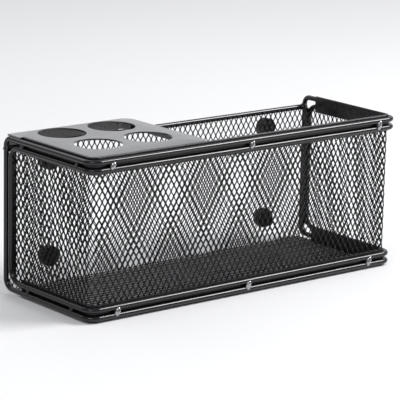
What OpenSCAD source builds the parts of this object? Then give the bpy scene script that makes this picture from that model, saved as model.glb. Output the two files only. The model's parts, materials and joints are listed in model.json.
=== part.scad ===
// Magnetic desk organizer: a wire-framed basket of expanded metal with a marker
// plate over its left third and four round magnets on its back.
// X runs along the length, Y from the front to the back, Z up.
// The origin is the middle of the base, under the centre of the outer box.

/* [Wire frame] */
// Length between the centres of the left and right wires
frame_w = 205; // [180:1:260]
// Depth between the centres of the front and back wires
frame_d = 74.5; // [70:0.5:100]
// Height between the centres of the lowest and highest wires
frame_h = 80; // [70:1:110]
// Diameter of the round wire
wire_d = 2.8; // [2:0.1:3.4]
// Distance between the centres of the two parallel wires
pair_gap = 4.3; // [3.6:0.1:5]
// Radius of the wire's front corners, seen from above
corner_r = 5.5; // [5:0.5:14]
// Radius of the outer wire's bends at the top back corners
outer_top_r = 4; // [3:0.5:7]
// Radius of the inner wire's bends at the top back corners
inner_top_r = 6; // [4:0.5:8]
// Radius of the outer wire's bends at the bottom back corners
outer_low_r = 5.5; // [3:0.5:7]
// Radius of the inner wire's bends at the bottom back corners
inner_low_r = 8; // [4:0.5:8]

/* [Rim bands] */
// Height of each folded band
rim_h = 9; // [7:0.5:12]
// How far a band stands past the wires, up or down
rim_lip = 1; // [0.4:0.1:1.6]
// Thickness of the strip that a band is folded from
strip_t = 0.5; // [0.4:0.1:0.8]
// Distance from the bands' ends to the back wires' centres
band_end_gap = 12.3; // [12.3:0.1:16]

/* [Back edge strips] */
// Depth of the strips folded over the back edges of the sides
back_strip_w = 3.4; // [2.4:0.1:6]
// Distance from each end of a back strip to the centre of the wire past it
back_strip_gap = 5.4; // [5.4:0.1:8]

/* [Mesh] */
// Thickness of the expanded metal sheet
mesh_t = 0.6; // [0.4:0.1:1]
// Gap between the back wires' centres and the back sheet's middle
back_mesh_gap = 1.3; // [1.2:0.1:1.6]
// Height of the bottom sheet's underside above the base
floor_gap = 0.9; // [0.6:0.1:2]
// How far the front and side sheet reaches into each band
mesh_tuck = 3; // [2:0.5:6]

/* [Back rod] */
// Diameter of the rod along the top of the back
rod_d = 3; // [2:0.1:3.6]
// Drop from the top wire's centre to the rod's centre
rod_drop = 5.6; // [4.5:0.1:9]
// Distance from each end of the rod to the centre of the leg it's welded to
rod_end_gap = 0.9; // [0.4:0.1:1.2]

/* [Marker plate] */
// Length of the marker plate
plate_w = 75.6; // [70:0.1:100]
// Thickness of the plate's sheet
plate_t = 0.8; // [0.6:0.1:1.2]
// Depth of the plate's top face below the rim band's edge
plate_sink = 0.2; // [0:0.1:0.6]
// Radius of the plate's free corners
plate_free_r = 7; // [3:0.5:10]
// Height of the flanges folded down at the front, the left and the free end
flange_h = 5; // [3:0.5:7]
// Diameter of the marker holes
hole_d = 25.4; // [16:0.1:28]
// Distance between the centres of neighbouring holes
hole_pitch = 31.75; // [29:0.05:34]
// Distance from the front wire's centre to the middle of the four holes
hole_mid_y = 44.2; // [40:0.1:48]

/* [Magnets] */
// Diameter of each round magnet
magnet_d = 11; // [8:0.5:16]
// Thickness of each magnet
magnet_t = 4; // [3:0.5:6]
// Thickness of the steel disc behind each magnet
disc_t = 0.6; // [0.4:0.1:1]
// Distance from the frame's middle to a magnet's centre
magnet_x = 74.5; // [40:0.5:80]
// Height of the lower magnets' centres above the lowest wire's centre
magnet_low_z = 12.6; // [10:0.1:20]
// Height of the upper magnets' centres above the lowest wire's centre
magnet_high_z = 65; // [55:0.1:68]

/* [Wire ties] */
// Diameter of a tie between the two wires
tie_d = 2.2; // [1.6:0.1:2.6]
// Distance of the outer ties from the middle, along the top of the front
tie_top_x = 90; // [70:1:92]
// Distance of the outer ties from the middle, along the bottom of the front
tie_low_x = 86; // [70:1:92]

/* [Hidden] */

$fn = 48;
hole_fn = 96;
magnet_fn = 64;
wire_r = wire_d / 2;
half_w = frame_w / 2;

// The magnets' outer faces are the furthest back
sheet_back = back_mesh_gap - mesh_t / 2;
magnet_out = disc_t + magnet_t - sheet_back;
front_y = -(wire_r + frame_d + magnet_out) / 2 + wire_r;
back_y = front_y + frame_d;

// Heights of the four wire runs and of the whole frame
low_z = rim_lip + wire_r;
high_z = low_z + frame_h;
mid_z = low_z + frame_h / 2;
top_z = high_z + wire_r + rim_lip;

// Insets from the wires' centre line: the band, and the sheet inside its fold
band_in = wire_r;
band_t = 2 * strip_t + mesh_t;
sheet_in = band_in + strip_t;
clear_in = band_in + band_t;

// The bands stop short of the wires' bends
band_end_y = back_y - band_end_gap;

// The back strips lie between the wires' two pairs of back legs and reach the back sheet
side_end_y = back_y - back_mesh_gap - mesh_t / 2;
back_strip_y = side_end_y - back_strip_w;
back_strip_z0 = low_z + back_strip_gap;
back_strip_z1 = high_z - back_strip_gap;

// Marker plate
plate_x0 = -half_w + clear_in;
plate_x1 = plate_x0 + plate_w;
plate_y0 = front_y + clear_in;
plate_y1 = back_y;
plate_z = top_z - plate_sink - plate_t;
plate_mid_x = (plate_x0 + plate_x1) / 2;
plate_front_r = corner_r - clear_in;
rod_z = high_z - rod_drop;

// Places of the ties along each side, from the front wire's centre
side_top_y = [12, 60];
side_low_y = [15.5, 54];

// Outline of an arc from angle a0 to a1 about a point
function arc(cx, cy, r, a0, a1, steps = 6) =
    [for (i = [0:steps]) let (a = a0 + (a1 - a0) * i / steps) [cx + r * cos(a), cy + r * sin(a)]];

// Draws a profile along the left side, the front and the right side.
// The profile's x is the inset from the wires' centre line and its y is the height.
module along_rim(end_y) {
    turn_y = front_y + corner_r;
    for (side = [0, 1]) mirror([side, 0, 0]) {
        translate([-half_w, end_y, 0]) rotate([90, 0, 0]) linear_extrude(end_y - turn_y) children();
        translate([-half_w + corner_r, turn_y, 0]) rotate([0, 0, 180])
            rotate_extrude(angle = 90) translate([corner_r, 0]) mirror([1, 0]) children();
    }
    translate([-half_w + corner_r, front_y, 0]) rotate([90, 0, 90])
        linear_extrude(frame_w - 2 * corner_r) children();
}

// One closed loop of wire: a U along the top, two back legs and a U along the bottom
module wire_loop(inset, top_r, low_r) {
    leg_y = back_y - inset;
    run_z = high_z - inset;
    for (flip = [0, 1]) translate([0, 0, mid_z]) mirror([0, 0, flip]) translate([0, 0, -mid_z]) {
        bend_r = flip == 0 ? top_r : low_r;
        along_rim(leg_y - bend_r) translate([0, run_z]) circle(wire_r);
        for (x = [-half_w, half_w]) {
            translate([x, leg_y - bend_r, run_z - bend_r]) rotate([90, 0, 90])
                rotate_extrude(angle = 90) translate([bend_r, 0]) circle(wire_r);
            translate([x, leg_y, mid_z]) cylinder(r = wire_r, h = run_z - bend_r - mid_z);
        }
    }
}

// Section of a band: a strip folded over the edge of the sheet, flat on top between round edges
module band_section() {
    fold_z = top_z - strip_t;
    foot_z = top_z - rim_h;
    gap_x1 = sheet_in + mesh_t;
    polygon(concat(
        [[gap_x1, foot_z], [clear_in, foot_z]],
        arc(clear_in - strip_t, fold_z, strip_t, 0, 90),
        arc(band_in + strip_t, fold_z, strip_t, 90, 180),
        [[band_in, foot_z], [sheet_in, foot_z], [sheet_in, fold_z], [gap_x1, fold_z]]
    ));
}

module outer_wire_frame() {
    color("#1c1c1f") wire_loop(0, outer_top_r, outer_low_r);
}

module inner_wire_frame() {
    color("#232327") wire_loop(pair_gap, inner_top_r, inner_low_r);
}

module top_rim_band() {
    color("#2a2a2e") along_rim(band_end_y) band_section();
}

module bottom_rim_band() {
    color("#2a2a2e") translate([0, 0, top_z]) mirror([0, 0, 1]) along_rim(band_end_y) band_section();
}

// A strip folded over the back edge of a side sheet
module back_strip(side) {
    color("#2a2a2e") mirror([side > 0 ? 1 : 0, 0, 0])
        translate([-half_w, 0, back_strip_z0]) linear_extrude(back_strip_z1 - back_strip_z0) polygon([
            [band_in, back_strip_y], [sheet_in, back_strip_y],
            [sheet_in, side_end_y - strip_t], [sheet_in + mesh_t, side_end_y - strip_t],
            [sheet_in + mesh_t, back_strip_y], [clear_in, back_strip_y],
            [clear_in, side_end_y], [band_in, side_end_y]
        ]);
}

// The front and both sides are one sheet, bent round the front corners. Its ends
// reach into the back strips, with their top and bottom corners cut off behind the bends.
module front_and_side_mesh() {
    edge_z = rim_h - mesh_tuck;
    end_y = side_end_y - strip_t;
    color("#34343a") {
        along_rim(band_end_y) translate([sheet_in, edge_z]) square([mesh_t, top_z - 2 * edge_z]);
        for (side = [0, 1]) mirror([side, 0, 0]) translate([-half_w + sheet_in, 0, 0])
            rotate([90, 0, 90]) linear_extrude(mesh_t) polygon([
                [band_end_y, edge_z], [back_strip_y, back_strip_z0], [end_y, back_strip_z0],
                [end_y, back_strip_z1], [back_strip_y, back_strip_z1], [band_end_y, top_z - edge_z]
            ]);
    }
}

// The back sheet reaches the round sides of the outer wire's legs
module back_mesh() {
    sheet_w = frame_w - 2 * sqrt(wire_r * wire_r - sheet_back * sheet_back);
    base_z = floor_gap;
    color("#34343a") translate([-sheet_w / 2, back_y - back_mesh_gap - mesh_t / 2, base_z])
        cube([sheet_w, mesh_t, rod_z - base_z]);
}

module bottom_mesh() {
    r = corner_r - clear_in;
    x = half_w - clear_in;
    y = front_y + clear_in;
    color("#34343a") translate([0, 0, floor_gap]) linear_extrude(mesh_t) polygon(concat(
        arc(-x + r, y + r, r, 180, 270), arc(x - r, y + r, r, 270, 360), [[x, side_end_y], [-x, side_end_y]]
    ));
}

// The rod runs between the back legs and is cut back where the back sheet hangs on it
module back_top_rod() {
    rod_l = frame_w - 2 * rod_end_gap;
    color("#232327") difference() {
        translate([-rod_l / 2, back_y, rod_z]) rotate([0, 90, 0]) cylinder(d = rod_d, h = rod_l);
        translate([-half_w, back_y - rod_d, rod_z - rod_d])
            cube([frame_w, rod_d - sheet_back, rod_d]);
        translate([-half_w, back_y, mid_z]) cylinder(d = wire_d, h = frame_h / 2 - outer_top_r);
        translate([half_w, back_y, mid_z]) cylinder(d = wire_d, h = frame_h / 2 - outer_top_r);
    }
}

// Outline of the plate's free end, inset by a wall's thickness
function free_end(inset) = concat(
    arc(plate_x1 - plate_free_r, plate_y0 + plate_free_r, plate_free_r - inset, 270, 360),
    arc(plate_x1 - plate_free_r, plate_y1 - plate_free_r, plate_free_r - inset, 0, 90)
);

// Flat plate with four holes, folded down inside the band, round its free end and onto the back rod.
// Behind the band's end an ear of it lies on the outer wire.
module marker_plate() {
    rest_z = rod_z + rod_d / 2;
    leg_side_x = -half_w + wire_r;
    color("#3a3a3f") {
        difference() {
            translate([0, 0, plate_z]) linear_extrude(plate_t) polygon(concat(
                arc(plate_x0 + plate_front_r, plate_y0 + plate_front_r, plate_front_r, 180, 270),
                free_end(0), [[-half_w, plate_y1], [-half_w, band_end_y], [plate_x0, band_end_y]]
            ));
            for (i = [-1, 1], j = [-1, 1])
                translate([plate_mid_x + i * hole_pitch / 2, front_y + hole_mid_y + j * hole_pitch / 2, 0])
                    cylinder(d = hole_d, h = top_z + plate_t, $fn = hole_fn);
        }
        translate([plate_x0 + plate_front_r, plate_y0, plate_z - flange_h])
            cube([plate_w - plate_front_r - plate_free_r, plate_t, flange_h]);
        translate([plate_x0, plate_y0 + plate_front_r, plate_z - flange_h])
            cube([plate_t, band_end_y - plate_y0 - plate_front_r, flange_h]);
        translate([leg_side_x, plate_y1 - plate_t, rest_z])
            cube([plate_x1 - plate_free_r - leg_side_x, plate_t, plate_z - rest_z]);
        translate([0, 0, plate_z - flange_h]) linear_extrude(flange_h) difference() {
            polygon(free_end(0));
            polygon(concat(
                [[plate_mid_x, plate_y1 - plate_t], [plate_mid_x, plate_y0 + plate_t]], free_end(plate_t)
            ));
        }
    }
}

module at_magnet(side, high) {
    translate([side * magnet_x, back_y - sheet_back, low_z + (high ? magnet_high_z : magnet_low_z)])
        rotate([-90, 0, 0]) children();
}

module magnet(side, high) {
    color("#17171a") at_magnet(side, high) translate([0, 0, disc_t])
        cylinder(d = magnet_d, h = magnet_t, $fn = magnet_fn);
}

// Thin steel discs welded to the back sheet, which the magnets are glued to
module magnet_discs() {
    color("#232327") for (side = [-1, 1], high = [false, true])
        at_magnet(side, high) cylinder(d = magnet_d, h = disc_t, $fn = magnet_fn);
}

// A short post between the two wires, hollowed at both ends to sit on them
module tie(top) {
    z = top ? high_z : low_z + pair_gap;
    translate([0, 0, z - pair_gap]) difference() {
        cylinder(d = tie_d, h = pair_gap);
        for (h = [0, pair_gap]) translate([-tie_d, 0, h]) rotate([0, 90, 0])
            cylinder(d = wire_d, h = 2 * tie_d);
    }
}

module front_ties(top) {
    reach = top ? tie_top_x : tie_low_x;
    color("#2a2a2e") for (x = [-reach, 0, reach]) translate([x, front_y, 0]) tie(top);
}

module side_ties(side, top) {
    color("#2a2a2e") for (y = top ? side_top_y : side_low_y)
        translate([side * half_w, front_y + y, 0]) rotate([0, 0, 90]) tie(top);
}

outer_wire_frame();
inner_wire_frame();
top_rim_band();
bottom_rim_band();
back_strip(-1);  // left_back_strip
back_strip(1);  // right_back_strip
front_and_side_mesh();
back_mesh();
bottom_mesh();
back_top_rod();
marker_plate();
magnet(-1, true);  // upper_left_magnet
magnet(1, true);  // upper_right_magnet
magnet(-1, false);  // lower_left_magnet
magnet(1, false);  // lower_right_magnet
magnet_discs();
front_ties(true);  // front_top_ties
front_ties(false);  // front_bottom_ties
side_ties(-1, true);  // left_top_ties
side_ties(-1, false);  // left_bottom_ties
side_ties(1, true);  // right_top_ties
side_ties(1, false);  // right_bottom_ties
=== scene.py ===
import json
import math
import random

import bmesh
import bpy
from mathutils import Matrix, Vector


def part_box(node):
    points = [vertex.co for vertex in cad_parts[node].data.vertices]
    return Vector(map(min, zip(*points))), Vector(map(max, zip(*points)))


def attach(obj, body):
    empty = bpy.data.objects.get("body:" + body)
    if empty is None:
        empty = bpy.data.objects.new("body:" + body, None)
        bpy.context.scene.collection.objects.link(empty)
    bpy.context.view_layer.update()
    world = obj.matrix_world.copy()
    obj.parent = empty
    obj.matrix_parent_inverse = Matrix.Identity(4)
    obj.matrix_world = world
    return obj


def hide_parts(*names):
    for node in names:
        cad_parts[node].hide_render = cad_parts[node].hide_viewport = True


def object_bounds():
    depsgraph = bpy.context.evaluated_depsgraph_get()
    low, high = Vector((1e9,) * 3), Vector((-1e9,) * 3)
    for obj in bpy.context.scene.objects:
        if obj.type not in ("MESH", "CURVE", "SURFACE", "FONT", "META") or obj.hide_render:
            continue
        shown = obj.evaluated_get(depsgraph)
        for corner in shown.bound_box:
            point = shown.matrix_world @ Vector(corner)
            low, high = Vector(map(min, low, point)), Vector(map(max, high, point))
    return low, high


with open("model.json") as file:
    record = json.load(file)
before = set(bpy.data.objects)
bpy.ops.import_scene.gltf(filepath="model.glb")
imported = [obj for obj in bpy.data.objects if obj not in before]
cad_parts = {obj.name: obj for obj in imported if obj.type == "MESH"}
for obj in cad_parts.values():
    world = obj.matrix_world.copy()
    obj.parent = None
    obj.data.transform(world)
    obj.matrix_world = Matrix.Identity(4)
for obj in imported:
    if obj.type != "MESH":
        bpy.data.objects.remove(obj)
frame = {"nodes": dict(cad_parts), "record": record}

# Every length is in metres, in the frame's own coordinates.
mm = 0.001
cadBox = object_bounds()
frameCentre = (cadBox[0] + cadBox[1]) / 2
nodes = frame["nodes"]

camera = dict(
    azimuth=-39.2,      # degrees round from straight ahead, to the left
    elevation=13.61,
    roll=1.25,
    distance=1.2192,
    lens=205.07,        # millimetres, as is the sensor's width
    sensor=36,
    stand=(0.0, -0.0011, 0.0),                # the point the distance is measured from
    aim=(-0.00188, 0.00059, 0.00052),         # the point looked at, from the frame's middle
)


# Direction from the object to a camera at those angles
def backward(azimuth, elevation):
    a, e = math.radians(azimuth), math.radians(elevation)
    return Vector((math.sin(a) * math.cos(e), -math.cos(a) * math.cos(e), math.sin(e)))


def addCamera():
    cam = bpy.data.cameras.new("cameraView")
    cam.lens = camera["lens"]
    cam.sensor_width = camera["sensor"]
    cam.clip_start = 0.05
    cam.clip_end = 60
    ob = bpy.data.objects.new("cameraView", cam)
    bpy.context.scene.collection.objects.link(ob)
    facing = backward(camera["azimuth"], camera["elevation"])
    place = frameCentre + Vector(camera["stand"]) + facing * camera["distance"]
    back = (place - frameCentre - Vector(camera["aim"])).normalized()
    right = Vector((0, 0, 1)).cross(back).normalized()
    up = back.cross(right)
    roll = math.radians(camera["roll"])
    across = right * math.cos(roll) + up * math.sin(roll)
    upright = up * math.cos(roll) - right * math.sin(roll)
    turned = Matrix((across, upright, back)).transposed().to_4x4()
    ob.matrix_world = Matrix.Translation(place) @ turned
    bpy.context.scene.camera = ob


addCamera()
print("camera placed")


# An empty shader group with named sockets: (name, kind, default)
def nodeGroup(name, inputs, outputs):
    tree = bpy.data.node_groups.new(name, "ShaderNodeTree")
    for label, kind, value in inputs:
        socket = tree.interface.new_socket(label, in_out="INPUT", socket_type=kind)
        socket.default_value = value
    for label, kind in outputs:
        tree.interface.new_socket(label, in_out="OUTPUT", socket_type=kind)
    return tree, tree.nodes.new("NodeGroupInput"), tree.nodes.new("NodeGroupOutput")


def addNode(tree, kind, **settings):
    made = tree.nodes.new(kind)
    for key, value in settings.items():
        setattr(made, key, value)
    return made


def maths(tree, operation, first, second=None, clamp=False):
    made = addNode(tree, "ShaderNodeMath", operation=operation, use_clamp=clamp)
    for socket, value in zip(made.inputs, (first, second)):
        if isinstance(value, (int, float)):
            socket.default_value = value
        elif value is not None:
            tree.links.new(value, socket)
    return made.outputs[0]


def mixColour(tree, amount, first, second):
    made = addNode(tree, "ShaderNodeMix", data_type="RGBA")
    for socket, value in ((made.inputs[0], amount), (made.inputs[6], first), (made.inputs[7], second)):
        if isinstance(value, (int, float, tuple)):
            socket.default_value = value
        else:
            tree.links.new(value, socket)
    return made.outputs[2]


# Eases a value from toLow to toHigh as it goes from low to high
def spread(tree, value, low, high, toLow=0.0, toHigh=1.0):
    made = addNode(tree, "ShaderNodeMapRange", interpolation_type="SMOOTHSTEP")
    for socket, number in zip(made.inputs[1:5], (low, high, toLow, toHigh)):
        if isinstance(number, (int, float)):
            socket.default_value = number
        else:
            tree.links.new(number, socket)
    tree.links.new(value, made.inputs[0])
    return made.outputs[0]


# Noise whose features are about grain metres across
def speckle(tree, place, grain, detail=2.0, rough=0.5):
    made = addNode(tree, "ShaderNodeTexNoise")
    made.inputs["Scale"].default_value = 1 / grain
    made.inputs["Detail"].default_value = detail
    made.inputs["Roughness"].default_value = rough
    tree.links.new(place, made.inputs["Vector"])
    return made.outputs["Fac"]


# Sizes of the marks in the paint
skinGrain = dict(
    patches=9 * mm,           # duller and glossier areas
    peel=0.9 * mm,            # orange peel
    rubs=2.6 * mm,
    motes=1.3 * mm,           # dust
    rubDulls=0.18,            # roughness that a full rub adds
    dustDulls=0.35,           # roughness that full dust adds
)


# Sprayed and baked paint: orange peel, uneven gloss, tiny rubs and a little dust on top
def buildPaintSkin():
    tree, given, out = nodeGroup(
        "paintSkin",
        [("Paint", "NodeSocketColor", (0.01, 0.01, 0.011, 1)),
         ("Rubbed", "NodeSocketColor", (0.05, 0.05, 0.053, 1)),
         ("Dust", "NodeSocketColor", (0.16, 0.155, 0.15, 1)),
         ("Gloss Low", "NodeSocketFloat", 0.2),
         ("Gloss High", "NodeSocketFloat", 0.34),
         ("Peel Height", "NodeSocketFloat", 0.00003),
         ("Rub Share", "NodeSocketFloat", 0.4),
         ("Dust Share", "NodeSocketFloat", 0.2)],
        [("Color", "NodeSocketColor"), ("Roughness", "NodeSocketFloat"), ("Normal", "NodeSocketVector")],
    )
    link = tree.links.new
    place = addNode(tree, "ShaderNodeTexCoord").outputs["Object"]
    facing = addNode(tree, "ShaderNodeSeparateXYZ")
    link(addNode(tree, "ShaderNodeNewGeometry").outputs["Normal"], facing.inputs[0])
    patches = speckle(tree, place, skinGrain["patches"], 3.0)
    peel = speckle(tree, place, skinGrain["peel"], 2.0, 0.55)
    rubs = spread(tree, speckle(tree, place, skinGrain["rubs"], 6.0, 0.72), 0.62, 0.70)
    rubs = maths(tree, "MULTIPLY", rubs, given.outputs["Rub Share"], True)
    settled = spread(tree, facing.outputs[2], 0.45, 1.0)
    motes = spread(tree, speckle(tree, place, skinGrain["motes"], 5.0, 0.65), 0.42, 0.72)
    dust = maths(tree, "MULTIPLY", settled, motes)
    dust = maths(tree, "MULTIPLY", dust, given.outputs["Dust Share"], True)
    colour = mixColour(tree, rubs, given.outputs["Paint"], given.outputs["Rubbed"])
    link(mixColour(tree, dust, colour, given.outputs["Dust"]), out.inputs["Color"])
    gloss = spread(tree, patches, 0.3, 0.7, given.outputs["Gloss Low"], given.outputs["Gloss High"])
    gloss = maths(tree, "ADD", gloss, maths(tree, "MULTIPLY", rubs, skinGrain["rubDulls"]))
    gloss = maths(tree, "ADD", gloss, maths(tree, "MULTIPLY", dust, skinGrain["dustDulls"]), True)
    link(gloss, out.inputs["Roughness"])
    bump = addNode(tree, "ShaderNodeBump")
    bump.inputs["Strength"].default_value = 1.0
    link(given.outputs["Peel Height"], bump.inputs["Distance"])
    link(peel, bump.inputs["Height"])
    link(bump.outputs[0], out.inputs["Normal"])
    return tree


wornEdge = dict(
    start=0.53,               # sharpness where the wear starts
    end=0.66,                 # sharpness where it is full
    grain=1.8 * mm,           # size of the breaks in it
    bare=(0.12, 0.12, 0.125),
)


# Mask of corners that handling has worn, from how sharply the surface turns
def buildEdgeRub():
    tree, given, out = nodeGroup(
        "edgeRub",
        [("Start", "NodeSocketFloat", wornEdge["start"]), ("End", "NodeSocketFloat", wornEdge["end"])],
        [("Mask", "NodeSocketFloat")],
    )
    link = tree.links.new
    place = addNode(tree, "ShaderNodeTexCoord").outputs["Object"]
    sharp = addNode(tree, "ShaderNodeNewGeometry").outputs["Pointiness"]
    ridge = addNode(tree, "ShaderNodeMapRange", interpolation_type="SMOOTHSTEP")
    link(sharp, ridge.inputs[0])
    link(given.outputs["Start"], ridge.inputs[1])
    link(given.outputs["End"], ridge.inputs[2])
    broken = spread(tree, speckle(tree, place, wornEdge["grain"], 5.0, 0.7), 0.38, 0.66)
    link(maths(tree, "MULTIPLY", ridge.outputs[0], broken, True), out.inputs["Mask"])
    return tree


paintSkin = buildPaintSkin()
edgeRub = buildEdgeRub()


# A Principled shader fed by paintSkin, with edgeRub lightening the worn corners
def paintMaterial(name, look):
    made = bpy.data.materials.new(name)
    made.use_nodes = True
    tree = made.node_tree
    shader = tree.nodes["Principled BSDF"]
    skin = addNode(tree, "ShaderNodeGroup", node_tree=paintSkin)
    for label, key in (("Paint", "paint"), ("Rubbed", "rubbed")):
        skin.inputs[label].default_value = (*look[key], 1)
    for label, key in (("Gloss Low", "glossLow"), ("Gloss High", "glossHigh"), ("Peel Height", "peel"),
                       ("Rub Share", "rubShare"), ("Dust Share", "dustShare")):
        skin.inputs[label].default_value = look[key]
    edge = addNode(tree, "ShaderNodeGroup", node_tree=edgeRub)
    amount = maths(tree, "MULTIPLY", edge.outputs[0], look["edgeShare"], True)
    worn = mixColour(tree, amount, skin.outputs["Color"], (*wornEdge["bare"], 1))
    tree.links.new(worn, shader.inputs["Base Color"])
    tree.links.new(skin.outputs["Roughness"], shader.inputs["Roughness"])
    tree.links.new(skin.outputs["Normal"], shader.inputs["Normal"])
    shader.inputs["Metallic"].default_value = look.get("metal", 0.0)
    shader.inputs["IOR"].default_value = look.get("ior", 1.5)
    shader.inputs["Coat Weight"].default_value = look.get("coat", 0.0)
    shader.inputs["Coat Roughness"].default_value = look.get("coatRoughness", 0.1)
    return made


# A finish for each kind of piece. The colours are the paint's and its rubs', gloss is the range
# of roughness, peel the height of the orange peel, and the shares say how much of each mark shows.
wireLook = dict(paint=(0.007, 0.007, 0.0085), rubbed=(0.022, 0.022, 0.025), glossLow=0.12, glossHigh=0.2,
                peel=0.012 * mm, rubShare=0.3, dustShare=0.1, edgeShare=0.0, ior=1.48)
bandLook = dict(paint=(0.004, 0.004, 0.005), rubbed=(0.018, 0.018, 0.02), glossLow=0.18, glossHigh=0.28,
                peel=0.02 * mm, rubShare=0.3, dustShare=0.08, edgeShare=0.2, ior=1.38)
plateLook = dict(paint=(0.01, 0.01, 0.0115), rubbed=(0.03, 0.03, 0.033), glossLow=0.16, glossHigh=0.26,
                 peel=0.02 * mm, rubShare=0.3, dustShare=0.08, edgeShare=0.3, coat=1.0, coatRoughness=0.1)
meshLook = dict(paint=(0.003, 0.003, 0.0035), rubbed=(0.015, 0.015, 0.017), glossLow=0.16, glossHigh=0.26,
                peel=0.012 * mm, rubShare=0.3, dustShare=0.05, edgeShare=0.0, ior=1.32)
magnetLook = dict(paint=(0.012, 0.012, 0.013), rubbed=(0.05, 0.05, 0.052), glossLow=0.46, glossHigh=0.64,
                  peel=0.05 * mm, rubShare=0.6, dustShare=0.12, edgeShare=0.5)
discLook = dict(paint=(0.01, 0.01, 0.011), rubbed=(0.035, 0.035, 0.037), glossLow=0.34, glossHigh=0.48,
                peel=0.03 * mm, rubShare=0.4, dustShare=0.1, edgeShare=0.3)
beadLook = dict(paint=(0.42, 0.42, 0.43), rubbed=(0.6, 0.6, 0.61), glossLow=0.2, glossHigh=0.28,
                peel=0.04 * mm, rubShare=0.6, dustShare=0.05, edgeShare=0.0, metal=0.92)

wirePaint = paintMaterial("wirePaint", wireLook)
bandPaint = paintMaterial("bandPaint", bandLook)
platePaint = paintMaterial("platePaint", plateLook)
meshPaint = paintMaterial("meshPaint", meshLook)
magnetFerrite = paintMaterial("magnetFerrite", magnetLook)
discPaint = paintMaterial("discPaint", discLook)
beadPaint = paintMaterial("beadPaint", beadLook)
print("paints mixed")


def dress(ob, material):
    ob.data.materials.clear()
    ob.data.materials.append(material)


for name, material in (("outer_wire_frame", wirePaint), ("inner_wire_frame", wirePaint),
                       ("back_top_rod", wirePaint), ("top_rim_band", bandPaint),
                       ("bottom_rim_band", bandPaint), ("left_back_strip", bandPaint),
                       ("right_back_strip", bandPaint), ("magnet_discs", discPaint)):
    dress(nodes[name], material)
print("frame dressed")


# A piece that rides on the frame and stands for the named CAD nodes
def pieceFrom(bm, name, material, stoodFor, smooth=False):
    mesh = bpy.data.meshes.new(name)
    bm.to_mesh(mesh)
    bm.free()
    for face in mesh.polygons:
        face.use_smooth = smooth
    ob = bpy.data.objects.new(name, mesh)
    bpy.context.scene.collection.objects.link(ob)
    dress(ob, material)
    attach(ob, "root")
    if stoodFor:
        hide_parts(*stoodFor)
    return ob


# Expanded metal. A sheet is slit and pulled sideways, so it becomes zigzag ribbons that
# touch at short bonds. Each ribbon leans, and the bonds are two ribbons wide.
expanded = dict(
    pitchAcross=3.62 * mm,    # between the middles of neighbouring diamonds, across
    pitchAlong=6.15 * mm,     # the same, along the diamonds' long way
    strandWidth=0.47 * mm,
    strandThickness=0.5 * mm,
    lean=15,                  # degrees that each ribbon leans out of the sheet
    bond=1.0 * mm,            # length of a bond
)


# Flat expanded metal covering low to high, each (across, along); the third number is depth
def ribbonSheet(low, high):
    half, period = expanded["pitchAcross"] / 2, expanded["pitchAlong"]
    lean = math.radians(expanded["lean"])
    wide = Vector((math.cos(lean), 0, math.sin(lean))) * expanded["strandWidth"]
    thick = Vector((-math.sin(lean), 0, math.cos(lean))) * expanded["strandThickness"] / 2
    bond = expanded["bond"] / 2
    bm = bmesh.new()
    known = {}

    # Vertex on a node column's plate, a ribbon's width to one side of its middle or on it
    def corner(column, place, lift, side):
        key = (column, round(place / mm, 4), lift, side)
        if key not in known:
            at = Vector((column * half, place, 0)) + wide * side + thick * lift
            known[key] = bm.verts.new(at)
        return known[key]

    firstColumn, lastColumn = math.floor(low[0] / half) - 1, math.ceil(high[0] / half) + 1
    firstRow, lastRow = math.floor(low[1] / period) - 2, math.ceil(high[1] / period) + 2
    for column in range(firstColumn, lastColumn):
        stops = []
        for row in range(2 * firstRow, 2 * lastRow):
            middle = row * period / 2
            atLeft = (row + column) % 2 == 0
            for place in (middle - bond, middle + bond):
                c, sides = (column, (0, 1)) if atLeft else (column + 1, (-1, 0))
                stops.append((atLeft, [corner(c, place, lift, side) for lift, side in (
                    (-1, sides[0]), (-1, sides[1]), (1, sides[1]), (1, sides[0]))]))
        for (leftA, a), (leftB, b) in zip(stops, stops[1:]):
            atBond = leftA == leftB
            for i in range(4):
                joined = atBond and ((i == 3 and leftA) or (i == 1 and not leftA))
                if not joined:
                    j = (i + 1) % 4
                    bm.faces.new((a[i], a[j], b[j], b[i]))
    return bm


# Cuts the flat sheet along a line and closes the cut strands
def trim(bm, point, normal):
    geom = bm.verts[:] + bm.edges[:] + bm.faces[:]
    cut = bmesh.ops.bisect_plane(bm, geom=geom, dist=1e-7, plane_co=(*point, 0), plane_no=(*normal, 0),
                                 clear_outer=True)
    edges = [e for e in cut["geom_cut"] if isinstance(e, bmesh.types.BMEdge)]
    bmesh.ops.holes_fill(bm, edges=edges, sides=0)


# Cuts a corner round, in short straight cuts
def trimRound(bm, centre, radius, signs, angles=(22, 45, 68)):
    for angle in angles:
        a = math.radians(angle)
        way = (math.sin(a) * signs[0], math.cos(a) * signs[1])
        trim(bm, (centre[0] + way[0] * radius, centre[1] + way[1] * radius), way)


def expandedPiece(name, low, high, rounds, place, stoodFor):
    bm = ribbonSheet(low, high)
    trim(bm, (0, low[1]), (0, -1))
    trim(bm, (0, high[1]), (0, 1))
    trim(bm, (low[0], 0), (-1, 0))
    trim(bm, (high[0], 0), (1, 0))
    for centre, radius, signs in rounds:
        trimRound(bm, centre, radius, signs)
    for v in bm.verts:
        v.co = place(*v.co)
    bmesh.ops.recalc_face_normals(bm, faces=bm.faces)
    return pieceFrom(bm, name, meshPaint, stoodFor)


basket = dict(
    sheet=0.6 * mm,           # thickness of the CAD's stand-in sheets
    cornerRadius=3.3 * mm,    # of the sheet's middle at the front corners
    topBend=6 * mm,           # radius of the inner wire's bends at the back, at the top
    lowBend=8 * mm,           # the same at the bottom
    wireRadius=1.4 * mm,
    floorGap=0.5 * mm,        # between the bottom sheet's corners and the front sheet
)


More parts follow.
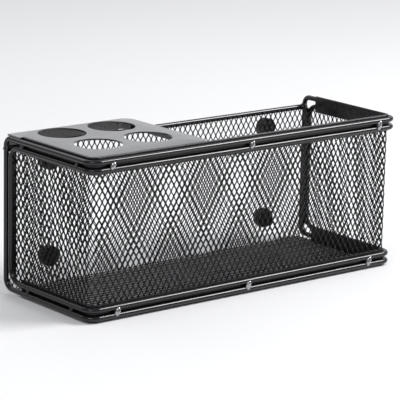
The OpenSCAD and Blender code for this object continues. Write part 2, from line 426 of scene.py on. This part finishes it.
# A function that bends the flat sheet round the front corners; the middle of the front is 0.
# The number with it turns a Y on the sides into a distance along the sheet.
def wrapAround(halfWidth, frontY, radius):
    straight = halfWidth - radius
    turn = radius * math.pi / 2

    def place(across, along, depth):
        side, u = (1, across) if across >= 0 else (-1, -across)
        if u <= straight:
            x, y, inward = u, frontY, Vector((0, 1))
        elif u <= straight + turn:
            a = (u - straight) / radius
            inward = Vector((-math.sin(a), math.cos(a)))
            x, y = straight - inward.x * radius, frontY + radius - inward.y * radius
        else:
            x, y, inward = halfWidth, frontY + radius + u - straight - turn, Vector((-1, 0))
        return Vector((side * (x + inward.x * depth), y + inward.y * depth, along))

    return place, straight + turn - radius - frontY


def makeMeshes():
    low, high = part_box("front_and_side_mesh")
    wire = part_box("inner_wire_frame")
    halfSheet = basket["sheet"] / 2
    place, yToPath = wrapAround(high.x - halfSheet, low.y + halfSheet, basket["cornerRadius"])
    reach = high.y + yToPath
    wireY = wire[1].y - basket["wireRadius"] + yToPath
    rounds = []
    for bend, edgeZ, up in ((basket["lowBend"], wire[0].z, -1), (basket["topBend"], wire[1].z, 1)):
        z = edgeZ - up * (basket["wireRadius"] + bend)
        rounds += [((s * (wireY - bend), z), bend, (s, up)) for s in (-1, 1)]
    expandedPiece("frontAndSideMesh", (-reach, low.z), (reach, high.z), rounds, place,
                  ["front_and_side_mesh"])

    low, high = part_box("back_mesh")
    middle = (low.y + high.y) / 2
    expandedPiece("backMesh", (low.x, low.z), (high.x, high.z), [],
                  lambda across, along, depth: Vector((across, middle + depth, along)), ["back_mesh"])

    low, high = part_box("bottom_mesh")
    level = (low.z + high.z) / 2
    r = basket["cornerRadius"] - halfSheet - basket["floorGap"]
    rounds = [((s * (high.x - r), low.y + r), r, (s, -1)) for s in (-1, 1)]
    expandedPiece("bottomMesh", (low.x, low.y), (high.x, high.y), rounds,
                  lambda across, along, depth: Vector((across, along, level + depth)), ["bottom_mesh"])


makeMeshes()
print("expanded metal made")


# Marker plate, bent down at the front, the free end, the left and the back
plate = dict(
    thickness=0.8 * mm,
    bendRadius=1.1 * mm,      # outside of the bends
    hole=12.7 * mm,           # radius
    pitch=31.75 * mm,
    flange=5 * mm,            # how far the folds reach down from the top sheet
    ear=3 * mm,               # how far the ear behind the band reaches past the left fold
    freeCorner=7 * mm,        # radius of the corners at the free end
    frontCorner=2.5 * mm,     # radius of the corner at the left of the front
    edgeRound=0.14 * mm,
    bendSteps=6,
    cornerSteps=12,
    frontSteps=8,
    holeSteps=72,
    weldDistance=0.005 * mm,  # points closer than this are one
)


# Points round an arc, from one angle in degrees to another
def arcPoints(cx, cy, radius, start, end, steps):
    turned = [math.radians(start + (end - start) * i / steps) for i in range(steps + 1)]
    return [(cx + radius * math.cos(a), cy + radius * math.sin(a)) for a in turned]


# One side of a fold: rounded over the bend, then straight down to its foot
def foldRow(bm, point, way, top, foot):
    bend = plate["bendRadius"]
    row = []
    for k in range(plate["bendSteps"] + 1):
        a = math.pi / 2 * k / plate["bendSteps"]
        out, drop = bend * math.sin(a), bend * (1 - math.cos(a))
        row.append(bm.verts.new((point[0] + way[0] * out, point[1] + way[1] * out, top - drop)))
    row.append(bm.verts.new((point[0] + way[0] * bend, point[1] + way[1] * bend, foot)))
    return row


def makePlate():
    low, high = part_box("marker_plate")
    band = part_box("top_rim_band")[1]
    bend, top = plate["bendRadius"], high.z
    corner, free = plate["frontCorner"], plate["freeCorner"]
    foldX, legX = low.x + plate["ear"], low.x + basket["wireRadius"]
    leftBend, frontBend, backBend = foldX + bend, low.y + bend, high.y - bend
    endX, foldFoot = high.x - free, top - plate["thickness"] - plate["flange"]
    bm = bmesh.new()

    # The free end's outline, from the front round to the back
    freeEnd = [((foldX + corner, frontBend), 270)]
    for centreY, start in ((low.y + free, 270), (high.y - free, 360)):
        angles = [start + 90 * i / plate["cornerSteps"] for i in range(plate["cornerSteps"] + 1)]
        points = arcPoints(endX, centreY, free - bend, start, start + 90, plate["cornerSteps"])
        freeEnd += zip(points, angles)
    outline = arcPoints(foldX + corner, low.y + corner, corner - bend, 180, 270, plate["frontSteps"])[:-1]
    outline += [point for point, _ in freeEnd]
    outline += [(legX, backBend), (low.x, backBend), (low.x, band.y), (leftBend, band.y)]
    middleX, middleY = (foldX + high.x) / 2, plateMiddleY()
    loops = [outline]
    for i in (-1, 1):
        for j in (-1, 1):
            centre = (middleX + i * plate["pitch"] / 2, middleY + j * plate["pitch"] / 2)
            loops.append(arcPoints(*centre, plate["hole"], 0, 360, plate["holeSteps"])[:-1])
    edges = []
    for loop in loops:
        verts = [bm.verts.new((x, y, top)) for x, y in loop]
        edges += [bm.edges.new((verts[k - 1], verts[k])) for k in range(len(verts))]
    bmesh.ops.triangle_fill(bm, use_beauty=True, use_dissolve=False, edges=edges)

    # The folds: each is a line of points with the way out and the height of its foot
    freeFold = []
    for point, angle in freeEnd:
        a = math.radians(angle)
        freeFold.append((point, (math.cos(a), math.sin(a)), foldFoot))
    left = [((leftBend, y), (-1, 0), foldFoot) for y in (low.y + corner, band.y)]
    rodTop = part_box("back_top_rod")[1].z
    back = [((x, backBend), (0, 1), rodTop) for x in (endX, legX)]
    for fold in (freeFold, left, back):
        rows = [foldRow(bm, point, way, top, foot) for point, way, foot in fold]
        for a, b in zip(rows, rows[1:]):
            for k in range(len(a) - 1):
                bm.faces.new((a[k], a[k + 1], b[k + 1], b[k]))
    bmesh.ops.remove_doubles(bm, verts=bm.verts, dist=plate["weldDistance"])
    bmesh.ops.recalc_face_normals(bm, faces=bm.faces)
    if sum(f.normal.z * f.calc_area() for f in bm.faces) < 0:
        bmesh.ops.reverse_faces(bm, faces=bm.faces)
    ob = pieceFrom(bm, "markerPlate", platePaint, ["marker_plate"], smooth=True)
    sheet = ob.modifiers.new("sheet", "SOLIDIFY")
    sheet.thickness = plate["thickness"]
    sheet.offset = -1
    rounded = ob.modifiers.new("rounded", "BEVEL")
    rounded.width = plate["edgeRound"]
    rounded.segments = 3
    rounded.limit_method = "ANGLE"
    rounded.angle_limit = math.radians(50)
    rounded.harden_normals = True


# The middle of the four holes, from the bores that the record states
def plateMiddleY():
    places = [m["pos_m"][1] for m in frame["record"]["mounts"] if m["kind"] == "bore"]
    return sum(places) / len(places)


makePlate()
print("marker plate made")


# Magnets: ground ferrite discs with chamfered edges
magnet = dict(
    chamfer=0.45 * mm,
    segments=72,
    sharpAngle=35,            # degrees; gentler edges are shaded smooth
    weldDistance=0.005 * mm,
)


def makeMagnet(node, name):
    low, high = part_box(node)
    radius = (high.x - low.x) / 2
    c = magnet["chamfer"]
    soft = 0.3 * c
    profile = [(0, low.y), (radius - 2 * c, low.y), (radius - c, low.y), (radius - soft, low.y + soft),
               (radius, low.y + c), (radius, high.y - c), (radius - soft, high.y - soft),
               (radius - c, high.y), (radius - 2 * c, high.y), (0, high.y)]
    bm = bmesh.new()
    line = [bm.verts.new((r, y, 0)) for r, y in profile]
    edges = [bm.edges.new(pair) for pair in zip(line, line[1:])]
    bmesh.ops.spin(bm, geom=line + edges, cent=(0, 0, 0), axis=(0, 1, 0), angle=2 * math.pi,
                   steps=magnet["segments"], use_duplicate=False)
    bmesh.ops.remove_doubles(bm, verts=bm.verts, dist=magnet["weldDistance"])
    bmesh.ops.recalc_face_normals(bm, faces=bm.faces)
    bmesh.ops.translate(bm, verts=bm.verts, vec=((low.x + high.x) / 2, 0, (low.z + high.z) / 2))
    ob = pieceFrom(bm, name, magnetFerrite, [node], smooth=True)
    ob.data.set_sharp_from_angle(angle=math.radians(magnet["sharpAngle"]))


for node, name in (("upper_left_magnet", "upperLeftMagnet"), ("upper_right_magnet", "upperRightMagnet"),
                   ("lower_left_magnet", "lowerLeftMagnet"), ("lower_right_magnet", "lowerRightMagnet")):
    makeMagnet(node, name)
print("magnets made")


# Weld beads that tie the two wires together
bead = dict(
    width=3.2 * mm,
    tall=4.5 * mm,
    stretch=(0.9, 1.25),      # each bead's height is multiplied by something between these
    depth=0.9,                # front to back, as a share of the width
    sink=0.6 * mm,            # from the wires' faces back to the bead's middle
    slant=0.6 * mm,           # how far its ends lean to each side
    lumps=(0.03, 0.08),       # range of the swellings, as a share of the radius
    rings=14,
    spokes=18,
)
sideBead = dict(bead, width=2.6 * mm, tall=4.7 * mm, sink=1.3 * mm, slant=0.3 * mm)


# A lumpy bead standing upright across both wires; place is midway between them
def addBead(bm, shape, place, outward, along, seed):
    chance = random.Random(seed)
    lumps = [(chance.uniform(0, 6.28), chance.uniform(*shape["lumps"])) for _ in range(3)]
    reach = shape["tall"] / 2 * chance.uniform(*shape["stretch"])
    rows = []
    for k in range(shape["rings"] + 1):
        t = -1 + 2 * k / shape["rings"]
        radius = shape["width"] / 2 * math.sqrt(max(0.0, 1 - t * t))
        shift = shape["slant"] * t
        row = []
        for i in range(shape["spokes"]):
            a = 2 * math.pi * i / shape["spokes"]
            swell = 1 + sum(size * math.sin(n * a + phase + 2 * t)
                            for n, (phase, size) in enumerate(lumps, 1))
            side = radius * math.cos(a) * swell
            out = shape["depth"] * radius * math.sin(a) * swell
            at = place + along * (side + shift) + outward * out + Vector((0, 0, t * reach))
            row.append(bm.verts.new(at))
        rows.append(row)
    for a, b in zip(rows, rows[1:]):
        for i in range(shape["spokes"]):
            j = (i + 1) % shape["spokes"]
            bm.faces.new((a[i], a[j], b[j], b[i]))
    bm.faces.new(rows[0])
    bm.faces.new(rows[-1])


# Places are the beads' distances along the run, and outward is the way the run faces
def makeBeads(node, name, outward, places):
    low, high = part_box(node)
    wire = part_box("outer_wire_frame")
    atFront = outward[1] != 0
    shape, material = (bead, beadPaint) if atFront else (sideBead, wirePaint)
    out = Vector(outward)
    along = Vector((0, 0, 1)).cross(out)
    level = (low.z + high.z) / 2
    face = wire[0].y if atFront else outward[0] * wire[1].x
    bm = bmesh.new()
    for i, p in enumerate(places):
        onFace = Vector((p, face, level)) if atFront else Vector((face, p, level))
        addBead(bm, shape, onFace - out * shape["sink"], out, along, len(name) * 10 + i)
    bmesh.ops.recalc_face_normals(bm, faces=bm.faces)
    pieceFrom(bm, name, material, [node], smooth=True)


tieGap = 4 * mm               # ties are further apart than this


# The middles of a node's separate ties, along X or Y, from its vertices
def tieMiddles(node, axis):
    values = sorted(v.co[axis] for v in nodes[node].data.vertices)
    groups = [[values[0]]]
    for value in values[1:]:
        if value - groups[-1][-1] > tieGap:
            groups.append([])
        groups[-1].append(value)
    return [(g[0] + g[-1]) / 2 for g in groups]


for node, name, outward in (("front_top_ties", "frontTopBeads", (0, -1, 0)),
                            ("front_bottom_ties", "frontBottomBeads", (0, -1, 0)),
                            ("left_top_ties", "leftTopBeads", (-1, 0, 0)),
                            ("left_bottom_ties", "leftBottomBeads", (-1, 0, 0)),
                            ("right_top_ties", "rightTopBeads", (1, 0, 0)),
                            ("right_bottom_ties", "rightBottomBeads", (1, 0, 0))):
    makeBeads(node, name, outward, tieMiddles(node, 0 if outward[1] else 1))
print("beads made")


# Welds that run the back rod's ends into the back legs
rodWeld = dict(
    length=3.4 * mm,          # along the rod, from the leg's middle
    legSide=1.3 * mm,         # past the leg's middle, the other way
    radius=2.1 * mm,
    start=0.12,               # how far into its swelling the weld starts, as a share
    fullness=0.6,             # lower is blunter
    tip=0.05 * mm,            # its least radius
    uneven=0.02,
    rings=14,
    spokes=20,
)


def makeRodWelds():
    low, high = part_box("back_top_rod")
    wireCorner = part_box("outer_wire_frame")[1]
    legX, rodY = wireCorner.x - basket["wireRadius"], wireCorner.y - basket["wireRadius"]
    rodZ = (low.z + high.z) / 2
    start, legSide = rodWeld["start"], rodWeld["legSide"]
    bm = bmesh.new()
    for side in (-1, 1):
        chance = random.Random(40 + side)
        rows = []
        for k in range(rodWeld["rings"] + 1):
            t = k / rodWeld["rings"]
            rise = math.sin(math.pi * min(1, start + (1 - start) * t)) ** rodWeld["fullness"]
            radius = max(rodWeld["radius"] * rise, rodWeld["tip"])
            x = side * (legX + legSide - (legSide + rodWeld["length"]) * t)
            phase = chance.uniform(0, 6.28)
            row = []
            for i in range(rodWeld["spokes"]):
                a = 2 * math.pi * i / rodWeld["spokes"]
                size = radius * (1 + rodWeld["uneven"] * math.sin(2 * a + phase))
                row.append(bm.verts.new((x, rodY + size * math.cos(a), rodZ + size * math.sin(a))))
            rows.append(row)
        for a, b in zip(rows, rows[1:]):
            for i in range(rodWeld["spokes"]):
                j = (i + 1) % rodWeld["spokes"]
                bm.faces.new((a[i], a[j], b[j], b[i]))
        bm.faces.new(rows[0])
        bm.faces.new(rows[-1])
    bmesh.ops.recalc_face_normals(bm, faces=bm.faces)
    pieceFrom(bm, "rodWelds", wirePaint, [], smooth=True)


makeRodWelds()
print("rod welds made")


# Floor, world and lights
studio = dict(
    floorColour=(0.86, 0.86, 0.87),
    floorCloud=0.985,         # the floor's darker patches, as a share of its colour
    floorGrain=0.35,
    floorRoughness=0.75,
    floorHalf=6,              # half the floor's width
    worldColour=(0.96, 0.97, 1.0),
    dim=0.24,                 # the world's level towards the front
    bright=0.78,              # its level towards the pale wall behind
    shown=0.9,                # its level where it is seen directly
    fill=0.5,                 # its level for the soft light that falls on matt surfaces
    behind=(0.6, 0.8, 0.0),   # the way to that wall
    fullAt=0.8,               # how squarely a ray must face the wall to see its full level
)
lights = dict(
    rightBox=dict(place=(0.95, -0.58, 1.08), size=(0.75, 0.5), power=21),
    leftBox=dict(place=(-0.95, -0.58, 1.08), size=(0.75, 0.5), power=5),
    backBox=dict(place=(0.0, 1.25, 1.15), size=(1.6, 0.5), power=2),
)
lightTarget = (0, 0, 0.04)


def makeFloor():
    bm = bmesh.new()
    bmesh.ops.create_grid(bm, x_segments=8, y_segments=8, size=studio["floorHalf"])
    mesh = bpy.data.meshes.new("floor")
    bm.to_mesh(mesh)
    bm.free()
    ob = bpy.data.objects.new("floor", mesh)
    bpy.context.scene.collection.objects.link(ob)
    made = bpy.data.materials.new("paperSweep")
    made.use_nodes = True
    tree = made.node_tree
    shader = tree.nodes["Principled BSDF"]
    place = addNode(tree, "ShaderNodeTexCoord").outputs["Object"]
    cloud = spread(tree, speckle(tree, place, studio["floorGrain"], 3.0), 0.35, 0.65)
    pale = studio["floorColour"]
    darker = tuple(c * studio["floorCloud"] for c in pale)
    tree.links.new(mixColour(tree, cloud, (*pale, 1), (*darker, 1)), shader.inputs["Base Color"])
    shader.inputs["Roughness"].default_value = studio["floorRoughness"]
    dress(ob, made)


def addLight(name, place, size, power):
    lamp = bpy.data.lights.new(name, "AREA")
    lamp.shape = "RECTANGLE"
    lamp.size, lamp.size_y = size
    lamp.energy = power
    ob = bpy.data.objects.new(name, lamp)
    ob.location = place
    ob.rotation_mode = "QUATERNION"
    ob.rotation_quaternion = (Vector(place) - Vector(lightTarget)).to_track_quat("Z", "Y")
    bpy.context.scene.collection.objects.link(ob)


# Plain light for matt surfaces and the background, and a pale wall for gloss to reflect
def makeWorld():
    world = bpy.data.worlds.new("studio")
    world.use_nodes = True
    tree = world.node_tree
    sky = tree.nodes["Background"]
    sky.inputs[0].default_value = (*studio["worldColour"], 1)
    towards = addNode(tree, "ShaderNodeVectorMath", operation="DOT_PRODUCT")
    tree.links.new(addNode(tree, "ShaderNodeTexCoord").outputs["Generated"], towards.inputs[0])
    towards.inputs[1].default_value = studio["behind"]
    level = spread(tree, towards.outputs["Value"], 0.0, studio["fullAt"], studio["dim"], studio["bright"])
    path = addNode(tree, "ShaderNodeLightPath")
    for ray, chosen in (("Is Diffuse Ray", studio["fill"]), ("Is Camera Ray", studio["shown"])):
        kept = maths(tree, "MULTIPLY", level, maths(tree, "SUBTRACT", 1.0, path.outputs[ray]))
        level = maths(tree, "ADD", kept, maths(tree, "MULTIPLY", path.outputs[ray], chosen))
    tree.links.new(level, sky.inputs[1])
    bpy.context.scene.world = world


makeFloor()
makeWorld()
for name, light in lights.items():
    addLight(name, light["place"], light["size"], light["power"])
bpy.context.scene.view_settings.view_transform = "Standard"
print("studio lit")
